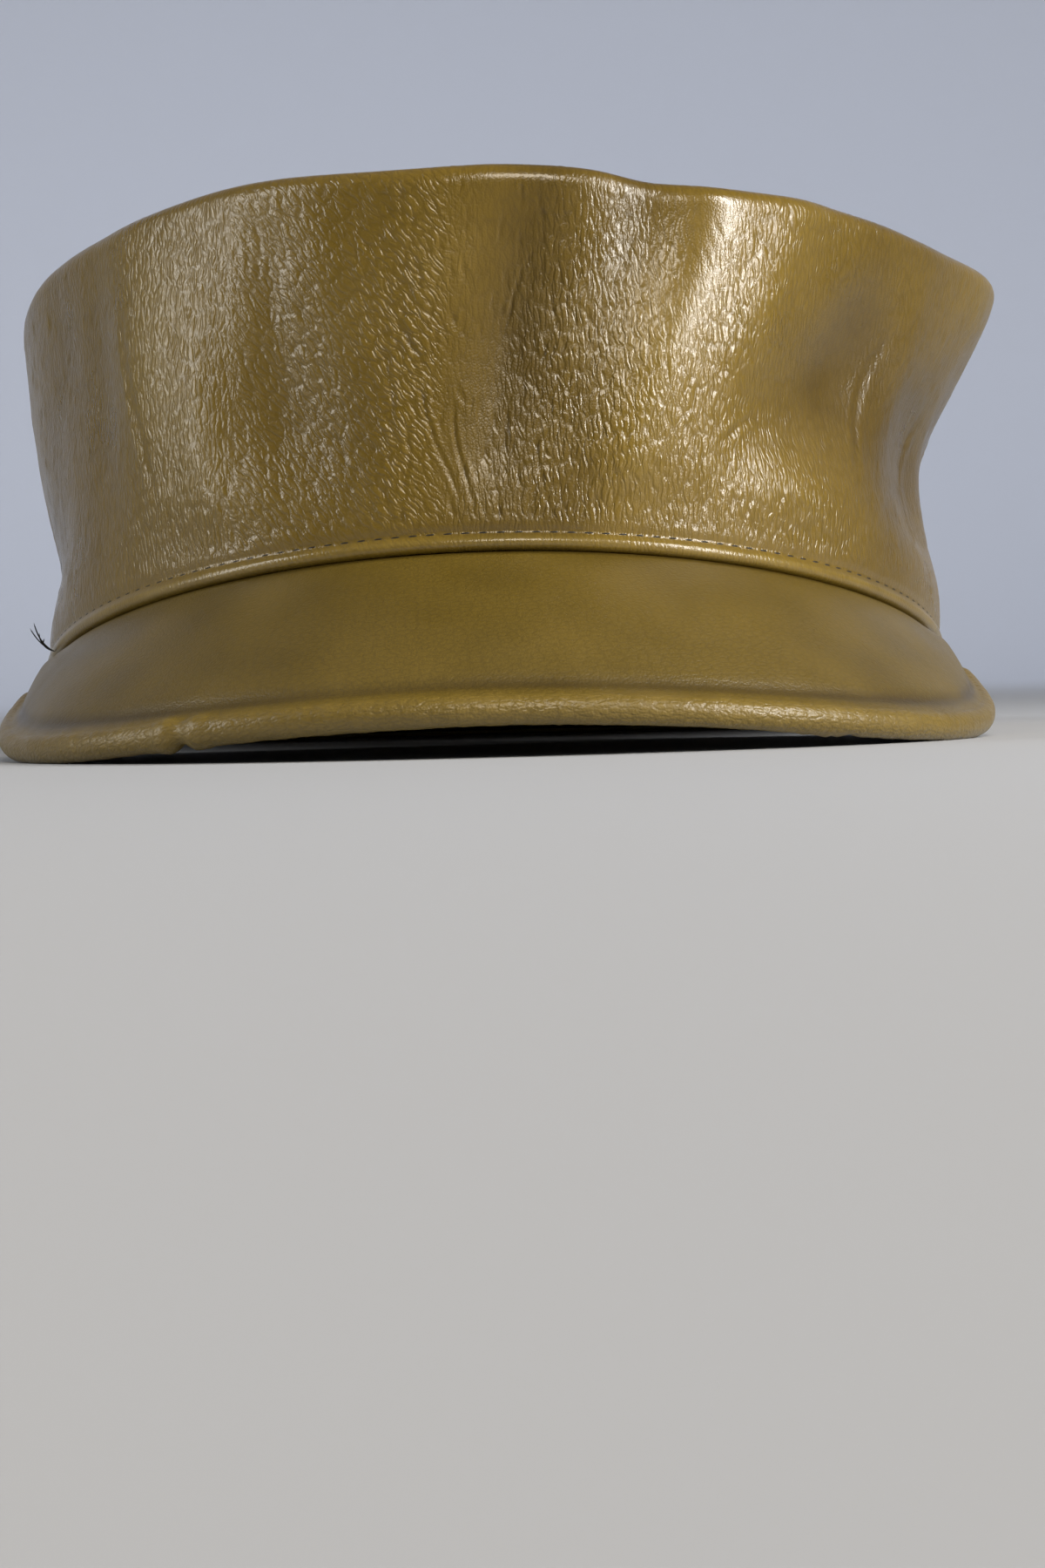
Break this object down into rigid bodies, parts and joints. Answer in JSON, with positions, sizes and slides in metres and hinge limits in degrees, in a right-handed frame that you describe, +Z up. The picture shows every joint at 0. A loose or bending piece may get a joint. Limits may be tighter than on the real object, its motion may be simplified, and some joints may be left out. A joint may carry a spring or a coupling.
{
  "type": "painter cap",
  "caption": "Soft leather painter cap with a flared side wall, a flat top, a short drooping peak with a rolled edge, and a sweatband.",
  "frame": {"origin": "on the surface that the cap stands on, below the middle of its box", "axes": "+Z up from the surface, -Y the way the peak points, +X to the right of someone who faces the peak"},
  "size_m": [0.1904, 0.258, 0.099],
  "materials": {
    "side_leather": "semi-gloss, shrunken grain",
    "top_leather": "semi-gloss, shrunken grain",
    "peak_leather": "satin, fine grain",
    "facing_leather": "satin, fine grain",
    "band_leather": "matt"
  },
  "bodies": {
    "root": {"crown_side": "side_leather", "crown_top": "top_leather", "peak": "peak_leather", "peak_facing": "facing_leather", "sweatband": "band_leather"}
  },
  "joints": []
}
